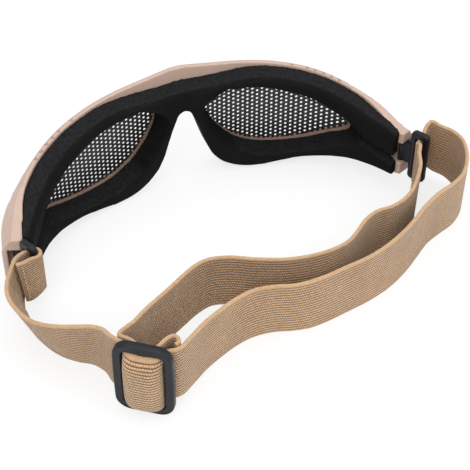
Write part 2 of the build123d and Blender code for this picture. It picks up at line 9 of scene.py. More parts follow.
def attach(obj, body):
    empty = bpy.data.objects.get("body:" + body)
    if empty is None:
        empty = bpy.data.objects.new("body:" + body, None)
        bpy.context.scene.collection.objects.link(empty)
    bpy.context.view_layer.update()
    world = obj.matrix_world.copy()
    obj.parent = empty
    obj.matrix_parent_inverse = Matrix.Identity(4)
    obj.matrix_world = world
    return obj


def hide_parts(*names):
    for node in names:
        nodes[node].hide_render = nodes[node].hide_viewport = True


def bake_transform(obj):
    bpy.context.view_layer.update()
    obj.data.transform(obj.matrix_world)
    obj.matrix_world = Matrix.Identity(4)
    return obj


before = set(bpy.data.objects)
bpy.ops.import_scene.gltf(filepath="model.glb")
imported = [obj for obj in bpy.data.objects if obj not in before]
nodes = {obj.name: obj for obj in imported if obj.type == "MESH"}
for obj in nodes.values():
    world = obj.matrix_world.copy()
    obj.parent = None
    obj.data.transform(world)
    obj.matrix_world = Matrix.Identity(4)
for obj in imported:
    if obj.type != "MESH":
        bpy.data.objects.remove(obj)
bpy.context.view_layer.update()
random.seed(7)
MM = 0.001

# Camera
AZIMUTH, ELEVATION, ROLL = math.radians(157), math.radians(44), math.radians(0.3)
TARGET = Vector((0.003, 0.060, 0.021))
DISTANCE = 0.487
SENSOR_WIDTH, FOCAL_LENGTH = 36, 100.8
NEAREST, FARTHEST = 0.01, 20
back = Vector((math.sin(AZIMUTH) * math.cos(ELEVATION), -math.cos(AZIMUTH) * math.cos(ELEVATION),
               math.sin(ELEVATION)))
right = Vector((0, 0, 1)).cross(back).normalized()
up = back.cross(right)
camera = bpy.data.objects.new("camera", bpy.data.cameras.new("camera"))
bpy.context.scene.collection.objects.link(camera)
turned_right = right * math.cos(ROLL) + up * math.sin(ROLL)
turned_up = up * math.cos(ROLL) - right * math.sin(ROLL)
camera.matrix_world = Matrix.Translation(TARGET + back * DISTANCE) @ Matrix(
    (turned_right, turned_up, back)).transposed().to_4x4()
camera.data.sensor_width, camera.data.lens = SENSOR_WIDTH, FOCAL_LENGTH
camera.data.clip_start, camera.data.clip_end = NEAREST, FARTHEST
bpy.context.scene.camera = camera


# Node helpers
class Graph:
    """Short hand for building a material's node tree."""

    def __init__(self, name):
        self.material = bpy.data.materials.new(name)
        self.material.use_nodes = True
        self.tree = self.material.node_tree
        self.shader = self.tree.nodes["Principled BSDF"]
        self.output = self.tree.nodes["Material Output"]

    def node(self, kind, **values):
        n = self.tree.nodes.new(kind)
        for key, value in values.items():
            setattr(n, key, value)
        return n

    def link(self, a, b):
        self.tree.links.new(a, b)

    def put(self, socket, value):
        if hasattr(value, "is_linked"):
            self.link(value, socket)
        else:
            socket.default_value = value

    def math(self, operation, a, b=None, c=None):
        n = self.node("ShaderNodeMath", operation=operation)
        for i, value in enumerate((a, b, c)):
            if value is not None:
                self.put(n.inputs[i], value)
        return n.outputs[0]

    def noise(self, vector, scale, detail=3, roughness=0.5):
        n = self.node("ShaderNodeTexNoise")
        self.link(vector, n.inputs["Vector"])
        n.inputs["Scale"].default_value = scale
        n.inputs["Detail"].default_value = detail
        n.inputs["Roughness"].default_value = roughness
        return n.outputs["Fac"]

    def ramp(self, value, low, high, out_low=0.0, out_high=1.0):
        n = self.node("ShaderNodeMapRange")
        self.link(value, n.inputs["Value"])
        n.inputs["From Min"].default_value = low
        n.inputs["From Max"].default_value = high
        n.inputs["To Min"].default_value = out_low
        n.inputs["To Max"].default_value = out_high
        return n.outputs["Result"]

    def mix(self, share, a, b):
        n = self.node("ShaderNodeMix", data_type="RGBA")
        self.put(n.inputs[0], share)
        self.put(n.inputs[6], a)
        self.put(n.inputs[7], b)
        return n.outputs[2]

    def bump(self, height, distance, strength):
        n = self.node("ShaderNodeBump")
        self.link(height, n.inputs["Height"])
        n.inputs["Distance"].default_value = distance
        n.inputs["Strength"].default_value = strength
        return n.outputs["Normal"]

    def place(self):
        return self.node("ShaderNodeTexCoord").outputs["Object"]


GRAIN_DEPTH = 0.00003
RIB_COUNT, YARN_PITCH = 20, 0.00088


def plastic(name, colour, roughness, variation, grain_scale, wear, specular):
    """Moulded plastic: fine grain, slow colour drift, and edges rubbed lighter."""
    g = Graph(name)
    place = g.place()
    drift = g.ramp(g.noise(place, 45, 4), 0.3, 0.7, 1 - variation, 1 + variation)
    base = g.node("ShaderNodeVectorMath", operation="SCALE")
    base.inputs[0].default_value = colour
    g.link(drift, base.inputs["Scale"])
    edge = g.node("ShaderNodeNewGeometry").outputs["Pointiness"]
    rubbed = g.math("MULTIPLY", g.ramp(edge, 0.53, 0.62), g.ramp(g.noise(place, 380, 3), 0.4, 0.65))
    tint = g.mix(g.math("MULTIPLY", rubbed, 0.6), base.outputs[0], (*wear, 1))
    g.link(tint, g.shader.inputs["Base Color"])
    g.link(g.ramp(g.noise(place, 160, 4), 0.3, 0.7, roughness - 0.05, roughness + 0.07),
           g.shader.inputs["Roughness"])
    g.link(g.bump(g.noise(place, grain_scale, 2), GRAIN_DEPTH, 0.6), g.shader.inputs["Normal"])
    g.shader.inputs["Specular IOR Level"].default_value = specular
    return g.material


def foam_material():
    """Closed-cell foam: smooth black skin inside, open dark grey grain on the cut top face, lighter there partly as
    painted top light.
    """
    g = Graph("foam")
    place = g.place()
    normal = g.node("ShaderNodeTexCoord").outputs["Normal"]
    split = g.node("ShaderNodeSeparateXYZ")
    g.link(normal, split.inputs[0])
    # Upward faces take the lighter grain: partly the open cells of the cut face, partly painted light on the top
    cut = g.ramp(split.outputs["Z"], 0.62, 0.9)
    cells = g.node("ShaderNodeTexVoronoi")
    g.link(place, cells.inputs["Vector"])
    cells.inputs["Scale"].default_value = 1500
    grain = g.noise(place, 900, 4, 0.7)
    light = g.ramp(grain, 0.3, 0.75)
    cut_grain_and_top_light = g.mix(light, (0.005, 0.005, 0.0055, 1), (0.02, 0.019, 0.021, 1))
    skin = g.mix(g.ramp(g.noise(place, 120, 3), 0.3, 0.7),
                 (0.0042, 0.004, 0.0042, 1), (0.0065, 0.0062, 0.0065, 1))
    g.link(g.mix(cut, skin, cut_grain_and_top_light), g.shader.inputs["Base Color"])
    g.shader.inputs["Roughness"].default_value = 0.85
    g.shader.inputs["Specular IOR Level"].default_value = 0.1
    height = g.math("ADD", g.math("MULTIPLY", grain, cut), g.math("MULTIPLY", cells.outputs["Distance"], 0.35))
    g.link(g.bump(height, 0.00022, 0.7), g.shader.inputs["Normal"])
    return g.material


def strap_material():
    """Woven elastic: ribs along the strap, cross yarns with small gaps painted in as shade, and a plain light edge.
    """
    g = Graph("strap_elastic")
    split = g.node("ShaderNodeSeparateXYZ")
    g.link(g.node("ShaderNodeUVMap", uv_map="weave").outputs["UV"], split.inputs[0])
    across, along = split.outputs["X"], split.outputs["Y"]
    place = g.place()
    wobble = g.math("MULTIPLY", g.math("SUBTRACT", g.noise(place, 400, 2), 0.5), 0.35)
    rib_place = g.math("MULTIPLY_ADD", across, float(RIB_COUNT), wobble)
    rib = g.math("ABSOLUTE", g.math("SINE", g.math("MULTIPLY", rib_place, math.pi)))
    stagger = g.math("MULTIPLY", g.math("FLOOR", rib_place), 0.5)
    yarn_place = g.math("ADD", g.math("MULTIPLY", along, 1 / YARN_PITCH), g.math("ADD", stagger, wobble))
    yarn = g.math("ABSOLUTE", g.math("SINE", g.math("MULTIPLY", yarn_place, math.pi)))
    inner = g.math("MULTIPLY", g.ramp(across, 0.035, 0.05), g.ramp(across, 0.95, 0.965, 1, 0))
    ridge = g.math("MULTIPLY", g.math("POWER", rib, 0.9), g.math("MULTIPLY_ADD", yarn, 0.5, 0.5))
    edge_yarn = g.math("ABSOLUTE", g.math("SINE", g.math("MULTIPLY", along, math.pi / (0.8 * YARN_PITCH))))
    plain = g.math("MULTIPLY_ADD", edge_yarn, 0.25, 0.75)
    edge = g.math("SUBTRACT", 1.0, inner)
    height = g.math("ADD", g.math("MULTIPLY", ridge, inner), g.math("MULTIPLY", plain, edge))
    drift = g.ramp(g.noise(place, 70, 3), 0.3, 0.7)
    light = g.mix(drift, (0.535, 0.345, 0.188, 1), (0.62, 0.41, 0.23, 1))
    # Painted shade: the near-black, strongly saturated brown in the pits and yarn gaps stands in for shade and for
    # light bounced between the yarns
    painted_pit_shade = g.mix(drift, (0.07, 0.028, 0.009, 1), (0.10, 0.042, 0.014, 1))
    # The weave's height picks the yarn colour on the ridges and the painted shade in the pits
    weave_with_pit_shade = g.mix(g.ramp(height, 0.12, 0.8), painted_pit_shade, light)
    weave_with_pit_shade = g.mix(g.math("MULTIPLY", g.ramp(g.noise(place, 1100, 2), 0.42, 0.7), 0.27), weave_with_pit_shade, painted_pit_shade)
    g.link(g.mix(g.math("MULTIPLY", edge, 0.4), weave_with_pit_shade, (0.38, 0.235, 0.125, 1)), g.shader.inputs["Base Color"])
    fibre = g.noise(place, 5200, 3, 0.6)
    g.link(g.bump(g.math("MULTIPLY_ADD", fibre, 0.25, height), 0.0004, 0.9), g.shader.inputs["Normal"])
    g.shader.inputs["Roughness"].default_value = 0.78
    g.shader.inputs["Specular IOR Level"].default_value = 0.2
    g.shader.inputs["Sheen Weight"].default_value = 0.25
    g.shader.inputs["Sheen Roughness"].default_value = 0.5
    return g.material


def mesh_material():
    """Perforated sheet with a black coating: satin, slightly uneven."""
    g = Graph("mesh_black")
    place = g.place()
    coating = g.mix(g.ramp(g.noise(place, 300, 3), 0.3, 0.7),
                    (0.006, 0.006, 0.007, 1), (0.014, 0.014, 0.016, 1))
    g.link(coating, g.shader.inputs["Base Color"])
    g.link(g.ramp(g.noise(place, 900, 3), 0.3, 0.7, 0.32, 0.5), g.shader.inputs["Roughness"])
    g.link(g.bump(g.noise(place, 2600, 3), 0.00004, 0.6), g.shader.inputs["Normal"])
    return g.material


def thread_material():
    """Sewing thread, a little uneven in colour."""
    g = Graph("thread_tan")
    place = g.place()
    tan = g.mix(g.noise(place, 2000, 2), (0.40, 0.26, 0.15, 1), (0.66, 0.48, 0.33, 1))
    g.link(tan, g.shader.inputs["Base Color"])
    g.link(g.bump(g.noise(place, 6000, 2), 0.00006, 0.8), g.shader.inputs["Normal"])
    g.shader.inputs["Roughness"].default_value = 0.7
    return g.material


TAN = plastic("shell_tan", (0.46, 0.33, 0.27), 0.42, 0.05, 2200, (0.55, 0.42, 0.36), 0.4)
# Painted shade: the retainers are the shell's tan plastic, given a darker tan that stands in for the shade they sit
# in beside the foam
SHADED_TAN = plastic("retainer_tan_painted_shade", (0.25, 0.165, 0.125), 0.5, 0.08, 2200, (0.33, 0.23, 0.18), 0.3)
HARDWARE = plastic("hardware_blue_black", (0.0065, 0.007, 0.011), 0.4, 0.12, 1800, (0.03, 0.032, 0.04), 0.3)
FOAM = foam_material()
STRAP = strap_material()
MESH = mesh_material()
THREAD = thread_material()


def give(obj, material):
    obj.data.materials.clear()
    obj.data.materials.append(material)


def linked(name, mesh):
    """New object of this mesh in the scene."""
    obj = bpy.data.objects.new(name, mesh)
    bpy.context.scene.collection.objects.link(obj)
    return obj


def built(name, bm):
    """New object of the faces in bm, which is then freed."""
    mesh = bpy.data.meshes.new(name)
    bm.to_mesh(mesh)
    bm.free()
    return linked(name, mesh)


def modified(obj, kind, **values):
    modifier = obj.modifiers.new(kind, kind)
    for key, value in values.items():
        setattr(modifier, key, value)


def settle(obj):
    """Applies the object's modifiers to its mesh."""
    bpy.context.view_layer.update()
    evaluated = obj.evaluated_get(bpy.context.evaluated_depsgraph_get())
    mesh = bpy.data.meshes.new_from_object(evaluated)
    obj.modifiers.clear()
    obj.data = mesh


def smooth_faces(obj):
    for polygon in obj.data.polygons:
        polygon.use_smooth = True


def ease(t):
    """Soft step from 0 to 1."""
    t = min(1.0, max(0.0, t))
    return t * t * (3 - 2 * t)


# The retainers get the darker tan of painted shade
for name in ("left_lens_retainer", "right_lens_retainer"):
    give(nodes[name], SHADED_TAN)
for name in ("left_strap_loop", "right_strap_loop"):
    give(nodes[name], HARDWARE)


# Strap route: rows close to those of the solids, in millimetres
FRONT_RADIUS, SIDE_RADIUS, SET_BACK = 130.0, 62.5, 9.0
SIDE_START, SIDE_END = 23.6, 68.0
STRAP_WIDTH, STRAP_THICKNESS, STRAP_GAP, FIT_GAP = 25.0, 1.5, 0.35, 0.1
STRAP_REACH = 110.0
LOOP_HEIGHT, LOOP_BAR, LOOP_THICKNESS, LOOP_SLOT, LOOP_FIRST_BAR = 24.0, 2.5, 2.6, 2.7, 4.2
LOOP_MIDDLE = 16.7
LOOP_BAR_CENTRE = LOOP_FIRST_BAR + LOOP_BAR + LOOP_SLOT + LOOP_BAR / 2
LEFT_LOOP_TURN, RIGHT_LOOP_TURN = 48.0, -8.0
PIN_FROM_OUTSIDE, PIN_FROM_END = 4.5, 2.2
SEAM_FROM_BAR = 8.0
SLIDER_LENGTH, SLIDER_BAR, SLIDER_THICKNESS, SLIDER_CENTRE_BAR = 21.5, 3.4, 3.6, 3.2
SLIDER_SLACK, SLIDER_X_SHARE, SLIDER_Y_SHARE = 0.5, 0.662, 0.981
SLIDER_WIDTH = STRAP_WIDTH + 2 * SLIDER_SLACK + 2 * SLIDER_BAR
SLIDER_TURN = 143.0
BUNCHED = LOOP_HEIGHT - 2 * LOOP_BAR - 2 * STRAP_GAP
IN_SLIDER = (SLIDER_WIDTH - STRAP_WIDTH) / 2
LAYER = STRAP_THICKNESS + STRAP_GAP
START = math.radians(SIDE_START)
CENTRE_STEP = FRONT_RADIUS - SIDE_RADIUS
FRONT_CENTRE = (0, FRONT_RADIUS - SET_BACK)
SIDE_CENTRE = (CENTRE_STEP * math.sin(START), FRONT_RADIUS - SET_BACK - CENTRE_STEP * math.cos(START))


def arc(on_side):
    """Centre and radius, in plan, of the shell's outer face at its front or at its side."""
    return (SIDE_CENTRE, SIDE_RADIUS) if on_side else (FRONT_CENTRE, FRONT_RADIUS)


def shell_point(angle, out=0.0):
    """Plan point at this turn from the mirror plane, this far outside the shell's outer face."""
    a = math.radians(angle)
    (x, y), radius = arc(angle > SIDE_START)
    return x + (radius + out) * math.sin(a), y - (radius + out) * math.cos(a)


HALF_WIDTH = shell_point(SIDE_END)[0]
SLIDER_CENTRE = (SLIDER_X_SHARE * HALF_WIDTH, SLIDER_Y_SHARE * STRAP_REACH)
PIN_X, PIN_Y = shell_point(SIDE_END, -PIN_FROM_OUTSIDE)
PIN_X -= PIN_FROM_END * math.cos(math.radians(SIDE_END))
PIN_Y -= PIN_FROM_END * math.sin(math.radians(SIDE_END))


def turned(angle, along, across):
    """A step along and across a direction in plan, as a step in x and y."""
    a = math.radians(angle)
    return along * math.cos(a) - across * math.sin(a), along * math.sin(a) + across * math.cos(a)


def at_loop(side, u, w):
    """Plan point at a distance from a loop's hinge pin, along the loop and across it."""
    dx, dy = turned(SIDE_END + LEFT_LOOP_TURN if side > 0 else 180 - SIDE_END - RIGHT_LOOP_TURN, u, w)
    return side * PIN_X + dx, PIN_Y + dy


def at_slider(x, y):
    """Plan point at a distance from the slider's middle, along the slider and behind it."""
    dx, dy = turned(SLIDER_TURN, x, y)
    return SLIDER_CENTRE[0] + dx, SLIDER_CENTRE[1] + dy


def lower_row(point, height, lean, width):
    """Row of the strap whose middle lies over a plan point at a height."""
    rise = math.sqrt(1 - lean[0] ** 2 - lean[1] ** 2)
    return (point[0] - lean[0] * width / 2, point[1] - lean[1] * width / 2, height - rise * width / 2, *lean, width)


def table_rows(table):
    """Rows of full width from shares of the shell's half width, the strap's reach and its width."""
    return [(x * HALF_WIDTH, y * STRAP_REACH, z * STRAP_WIDTH, a, b, STRAP_WIDTH) for x, y, z, a, b in table]


def slider_rows(points, heights=None):
    """Upright rows of full width at points near the slider."""
    heights = heights or [IN_SLIDER] * len(points)
    return [(*at_slider(x, y), z, 0, 0, STRAP_WIDTH) for (x, y), z in zip(points, heights)]


def both_ways(shares, along, behind):
    """Points of a bend from its first leg to its tip, and mirrored back along its second leg."""
    first = [(-x * along, y * behind) for x, y in shares]
    return first + [(-x, y) for x, y in first[-2::-1]]


def scaled(shares):
    return [(x * SLIDER_LENGTH, y * SLIDER_LENGTH) for x, y in shares]


def left_fold_rows():
    """Rows of the sewn fold: one leg, round the left loop's bar, and the other leg."""
    half_layer = (STRAP_THICKNESS + FIT_GAP) / 2
    reach_u = LOOP_BAR / 2 + STRAP_GAP + STRAP_THICKNESS / 2
    reach_w = LOOP_THICKNESS / 2 + STRAP_GAP + STRAP_THICKNESS / 2

    def leg(way):
        rows = []
        for width, lean, place in ((0.98, 1.0, 1.0), (0.93, 0.7, 0.75), (0.82, 0.1, 0.38)):
            spread = half_layer + (reach_u - half_layer) * math.sqrt(1 - place ** 2)
            point = at_loop(1, LOOP_BAR_CENTRE + way * spread, -SEAM_FROM_BAR * place)
            rows.append(lower_row(point, LOOP_MIDDLE, (0.1 * lean, 0.17 * lean), width * STRAP_WIDTH))
        return rows

    bend = []
    for degrees in (0, 45, 90, 135, 180):
        a = math.radians(degrees)
        point = at_loop(1, LOOP_BAR_CENTRE + reach_u * math.cos(a), reach_w * math.sin(a))
        bend.append(lower_row(point, LOOP_MIDDLE, (0, 0), BUNCHED))
    return leg(1) + bend + leg(-1)[::-1]


def right_turn_rows():
    """Rows of the curl through the right loop, bunched in its slot."""
    rows = []
    for u, w, opened in ((0.3, 0.39, 0.9), (0.27, 0.28, 0.55), (0.295, 0.175, 0.2), (0.33, 0.08, 0.0),
                         (0.335, 0.0, 0.0), (0.34, -0.08, 0.0), (0.37, -0.155, 0.25), (0.44, -0.21, 0.7)):
        width = BUNCHED + (STRAP_WIDTH - BUNCHED) * opened
        rows.append(lower_row(at_loop(-1, u * LOOP_HEIGHT, w * LOOP_HEIGHT), LOOP_MIDDLE, (0, 0), width))
    return rows


# Rows of the free stretches: shares of half width, reach and strap width, then the lean in x and y
LEFT = [
    (0.967, 0.425, 0.06, 0.17, 0.2), (0.967, 0.456, 0.03, 0.25, 0.19), (0.963, 0.497, 0.01, 0.31, 0.19),
    (0.957, 0.547, 0, 0.3, 0.22), (0.937, 0.598, 0, 0.25, 0.29), (0.91, 0.645, 0, 0.17, 0.28),
    (0.878, 0.681, 0, 0.09, 0.25), (0.833, 0.714, 0, 0.04, 0.2), (0.783, 0.747, 0.02, 0.02, 0.16),
    (0.75, 0.797, 0.05, 0.02, 0.08),
]
FRONT = [
    (0.37, 0.911, 0.04, 0, 0), (0.29, 0.875, 0, 0, 0), (0.2, 0.847, 0, 0, 0), (0.11, 0.832, 0, 0, 0),
    (0.01, 0.838, 0, 0.02, 0.02), (-0.07, 0.857, 0, 0.03, 0.02), (-0.14, 0.867, 0, 0.02, 0),
    (-0.21, 0.864, 0, 0.03, 0), (-0.33, 0.849, 0, 0.05, 0.01), (-0.45, 0.831, 0, 0.07, 0.03),
    (-0.55, 0.807, 0, 0.08, 0.03), (-0.67, 0.76, 0, 0.12, 0.06), (-0.775, 0.704, 0, 0.18, 0.12),
    (-0.86, 0.659, 0, 0.18, 0.12), (-0.942, 0.633, 0, 0.16, 0.08), (-1.018, 0.611, 0, 0.14, 0.08),
    (-1.075, 0.58, 0, 0.1, 0.1), (-1.125, 0.534, 0, 0.07, 0.11), (-1.157, 0.482, 0.02, 0.03, 0.09),
    (-1.16, 0.43, 0.06, -0.02, 0.06), (-1.14, 0.388, 0.1, -0.02, 0.05), (-1.103, 0.357, 0.14, 0, 0.04),
]
INNER = [
    (-0.915, 0.455, 0.1, -0.04, 0.03), (-0.895, 0.497, 0.05, -0.04, 0.02), (-0.868, 0.537, 0.02, -0.02, 0),
    (-0.832, 0.574, 0, 0, 0), (-0.79, 0.606, 0, 0, 0), (-0.73, 0.635, 0, 0, 0), (-0.66, 0.651, 0, 0, 0),
    (-0.585, 0.653, 0, 0, 0), (-0.518, 0.674, 0, 0, 0), (-0.45, 0.714, 0, 0, 0), (-0.385, 0.747, 0, 0, 0),
    (-0.31, 0.761, 0, 0, 0), (-0.21, 0.762, 0, 0, 0), (-0.1, 0.746, 0, 0, 0), (0.03, 0.704, 0, 0, 0),
    (0.13, 0.663, 0, 0, 0), (0.205, 0.648, 0, 0, 0), (0.275, 0.663, 0, -0.03, -0.04),
    (0.355, 0.695, 0, -0.05, -0.06), (0.45, 0.737, 0.01, -0.04, -0.04), (0.56, 0.787, 0.05, 0, 0),
    (0.625, 0.829, 0.1, 0, 0),
]
# Routes at the slider: shares of its own length, or of the distance that a layer keeps from its bar
WRAP_X = SLIDER_CENTRE_BAR / 2 + STRAP_GAP + STRAP_THICKNESS / 2
WRAP_Y = SLIDER_THICKNESS / 2 + STRAP_GAP + STRAP_THICKNESS / 2
RUN_X = SLIDER_LENGTH / 2 - SLIDER_BAR - STRAP_THICKNESS / 2 - STRAP_GAP
OVER = both_ways([(0.98, 0.28), (1.0, -0.18), (0.93, -0.65), (0.6, -1.0), (0.0, -1.07)], RUN_X, WRAP_Y + LAYER)
WRAP = both_ways([(1.12, 0.95), (1.0, 0.32), (1.0, -0.35), (0.84, -0.85), (0.44, -1.02), (0.0, -1.05)],
                 WRAP_X, WRAP_Y)
ARRIVAL = [(-0.61, 0.293), (-0.44, 0.205), (-0.32, 0.14)]
DEPARTURE = [(0.302, 0.125), (0.37, 0.18), (0.465, 0.24), (0.535, 0.35), (0.575, 0.5), (0.625, 0.69)]
END_ARRIVAL = [(-0.49, 0.35), (-0.35, 0.288), (-0.228, 0.228)]
TAIL = [(0.122, 0.135), (0.175, 0.22), (0.22, 0.33), (0.275, 0.435), (0.35, 0.5), (0.425, 0.475), (0.46, 0.395),
        (0.43, 0.325)]
RISING = [IN_SLIDER * share for share in (0.7, 0.9, 1.0)]
FALLING = [IN_SLIDER * share for share in (1.0, 1.0, 0.95, 0.85, 0.7, 0.5)]
# Name, rows and step length of each stretch, from the sewn fold to the free end
PARTS = [
    ("left_fold", left_fold_rows(), 0.5),
    ("left_stretch", table_rows(LEFT) + slider_rows(scaled(ARRIVAL), RISING), 1.0),
    ("over_bar", slider_rows(OVER), 0.5),
    ("front_band", slider_rows(scaled(DEPARTURE), FALLING) + table_rows(FRONT), 1.0),
    ("right_turn", right_turn_rows(), 0.5),
    ("inner_band", table_rows(INNER) + slider_rows(scaled(END_ARRIVAL), RISING), 1.0),
    ("end_wrap", slider_rows(WRAP + scaled(TAIL)), 0.5),
]


def smooth(rows, steps):
    """Smooth curve through the rows, and the place in it of each row."""
    gaps = [math.hypot(b[0] - a[0], b[1] - a[1]) for a, b in zip(rows, rows[1:])]
    slopes = []
    for i in range(len(rows)):
        if i in (0, len(gaps)):
            j = min(i, len(gaps) - 1)
            slopes.append([(q - p) / gaps[j] for p, q in zip(rows[j], rows[j + 1])])
        else:
            h0, h1 = gaps[i - 1], gaps[i]
            slopes.append([((q - p) / h0 * h1 + (r - q) / h1 * h0) / (h0 + h1)
                           for p, q, r in zip(rows[i - 1], rows[i], rows[i + 1])])
    out, places = [], []
    for i, gap in enumerate(gaps):
        places.append(len(out))
        count = max(1, math.ceil(gap / steps[i]))
        for k in range(count):
            t = k / count
            out.append([
                (2 * t ** 3 - 3 * t ** 2 + 1) * p + (3 * t ** 2 - 2 * t ** 3) * q
                + gap * ((t ** 3 - 2 * t ** 2 + t) * u + (t ** 3 - t ** 2) * v)
                for p, q, u, v in zip(rows[i], rows[i + 1], slopes[i], slopes[i + 1])])
    places.append(len(out))
    out.append(list(rows[-1]))
    return out, places


def edges_of(row):
    """Lower and upper edge of the strap at a row."""
    x, y, z, lean_x, lean_y, width = row
    rise = math.sqrt(1 - lean_x ** 2 - lean_y ** 2)
    return Vector((x, y, z)), Vector((x + lean_x * width, y + lean_y * width, z + rise * width))


ACROSS, EDGE_ROUND = 22, 0.9


def section_ring(low, high, normal):
    """Points round the strap's section, with its share across the width: a thin band with round edges."""
    half = STRAP_THICKNESS / 2
    edge = half * EDGE_ROUND
    up_way = (high - low).normalized()
    width = (high - low).length
    ring = []
    for side in (1, -1):
        for k in range(ACROSS + 1):
            s = k / ACROSS if side > 0 else 1 - k / ACROSS
            away = edge + s * (width - 2 * edge)
            ring.append((low + up_way * away + normal * side * half, away / width))
        centre, away = (high - up_way * edge, width - edge) if side > 0 else (low + up_way * edge, edge)
        for degrees in (30, 60, 90, 120, 150):
            a = math.radians(degrees)
            out = side * math.sin(a) * edge
            ring.append((centre + up_way * out + normal * side * math.cos(a) * half, (away + out) / width))
    return ring


route_rows = [row for _, part, _ in PARTS for row in part]
curve, places = smooth(route_rows, [step for _, part, step in PARTS for _ in part])
lengths = [0.0]
middles = []
for i, row in enumerate(curve):
    low, high = edges_of(row)
    middles.append((low + high) / 2)
    if i:
        lengths.append(lengths[-1] + (middles[-1] - middles[-2]).length)
spans = {}
start = 0
for name, part, _ in PARTS:
    tight = name in ("left_fold", "over_bar", "right_turn", "end_wrap")
    count = start + len(part)
    spans[name] = (places[start] if tight or not start else places[start - 1],
                   places[count - 1] if tight else places[min(count, len(route_rows) - 1)])
    start = count

# Over the centre bar the strap's lower and upper edges tuck in, and the layer beneath is gathered
TUCK, GATHER, RAISED = (1.5, 3.7), (2.0, 5.5), 0.45
TUCK_REACH, TUCK_POWER = 3, 4
face_out = Vector((*turned(SLIDER_TURN, 0, -1), 0))
sections = []
for i, row in enumerate(curve):
    low, high = edges_of(row)
    along = middles[min(i + 1, len(curve) - 1)] - middles[max(i - 1, 0)]
    normal = along.cross(high - low).normalized()
    in_front = (middles[i] - Vector((*SLIDER_CENTRE, middles[i].z))).dot(face_out)
    share = ease(in_front / TUCK_REACH)
    if spans["end_wrap"][0] <= i <= spans["end_wrap"][1] and share:
        inset = (high - low).normalized() * share
        low, high = low + inset * GATHER[0], high - inset * GATHER[1]
    over_bar = spans["over_bar"][0] <= i <= spans["over_bar"][1]
    if over_bar:
        high = high + Vector((0, 0, RAISED * share))
    ring = section_ring(low, high, normal)
    if over_bar:
        ring = [(point - face_out * TUCK[s > 0.5] * share * abs(2 * s - 1) ** TUCK_POWER, s) for point, s in ring]
    sections.append(ring)


def strap_piece(name, first, last):
    """Closed band between two places of the route, with a weave map: share across, metres along."""
    bm = bmesh.new()
    uv = bm.loops.layers.uv.new("weave")
    rings = []
    for i in range(first, last + 1):
        ring = []
        for point, share in sections[i]:
            v = bm.verts.new((point.x * MM, point.y * MM, max(point.z, 0.0) * MM))
            ring.append((v, share, lengths[i] * MM))
        rings.append(ring)
    count = len(rings[0])
    for a, b in zip(rings, rings[1:]):
        for k in range(count):
            m = (k + 1) % count
            quad = (a[k], b[k], b[m], a[m])
            face = bm.faces.new([q[0] for q in quad])
            for loop, (_, share, length) in zip(face.loops, quad):
                loop[uv].uv = (share, length)
            face.smooth = True
    for ring, flip in ((rings[0], False), (rings[-1], True)):
        corners = ring[::-1] if flip else ring
        face = bm.faces.new([q[0] for q in corners])
        for loop, (_, share, length) in zip(face.loops, corners):
            loop[uv].uv = (share, length)
        for edge in face.edges:
            edge.smooth = False
    bmesh.ops.recalc_face_normals(bm, faces=bm.faces)
    obj = built(name, bm)
    give(obj, STRAP)
    return obj


def nearest(first, last, point):
    """Place of the route, from first to last, that lies nearest to a plan point."""
    return min(range(first, last), key=lambda i: (middles[i].xy - Vector(point)).length)


fold = strap_piece("strap_sewn_fold", *spans["left_fold"])
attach(fold, "left_loop")
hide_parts("strap_left_fold")
over = strap_piece("strap_over_slider_bar", *spans["over_bar"])
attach(over, "slider")
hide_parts("strap_over_bar")
turn = strap_piece("strap_curl_in_right_loop", *spans["right_turn"])
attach(turn, "right_loop")
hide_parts("strap_right_turn")
wrap = strap_piece("strap_end_on_slider", *spans["end_wrap"])
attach(wrap, "slider")
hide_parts("strap_end_wrap")

# Free stretches: each is cut in two where it lies still; the pieces are then unparented and fixed in place
HELD_SHARE, FROM_END = 0.35, 2
blends = []
for name, node, cut, first_body, second_body in (
        ("strap_left", "strap_left_stretch", (83.5, 67.0), "left_loop", "slider"),
        ("strap_front", "strap_front_band", (-15.0, 95.0), "slider", "right_loop"),
        ("strap_inner", "strap_inner_band", (-15.0, 83.5), "right_loop", "slider")):
    first, last = spans[node[len("strap_"):]]
    middle = nearest(first, last, cut)
    for suffix, a, b, body, moving in (("a", first, middle, first_body, first + FROM_END),
                                       ("b", middle, last, second_body, last - FROM_END)):
        piece = strap_piece(name + "_" + suffix, a, b)
        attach(piece, "goggles")
        if suffix == "a":
            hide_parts(node)
        blends.append((piece, body, middles[middle] * MM, middles[moving] * MM))

for piece, body, s, e in blends:
    start = s + (e - s) * HELD_SHARE
    piece.parent = None
    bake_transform(piece)


# Outline of the shell's lens openings, as in the solids: shares of half width and height
WINDOW_SHARES = [
    (0.122, 0.605), (0.148, 0.497), (0.205, 0.353), (0.288, 0.226), (0.39, 0.16), (0.5, 0.153),
    (0.615, 0.187), (0.715, 0.253), (0.785, 0.332), (0.705, 0.526), (0.55, 0.695), (0.38, 0.789),
    (0.24, 0.797), (0.155, 0.724),
]
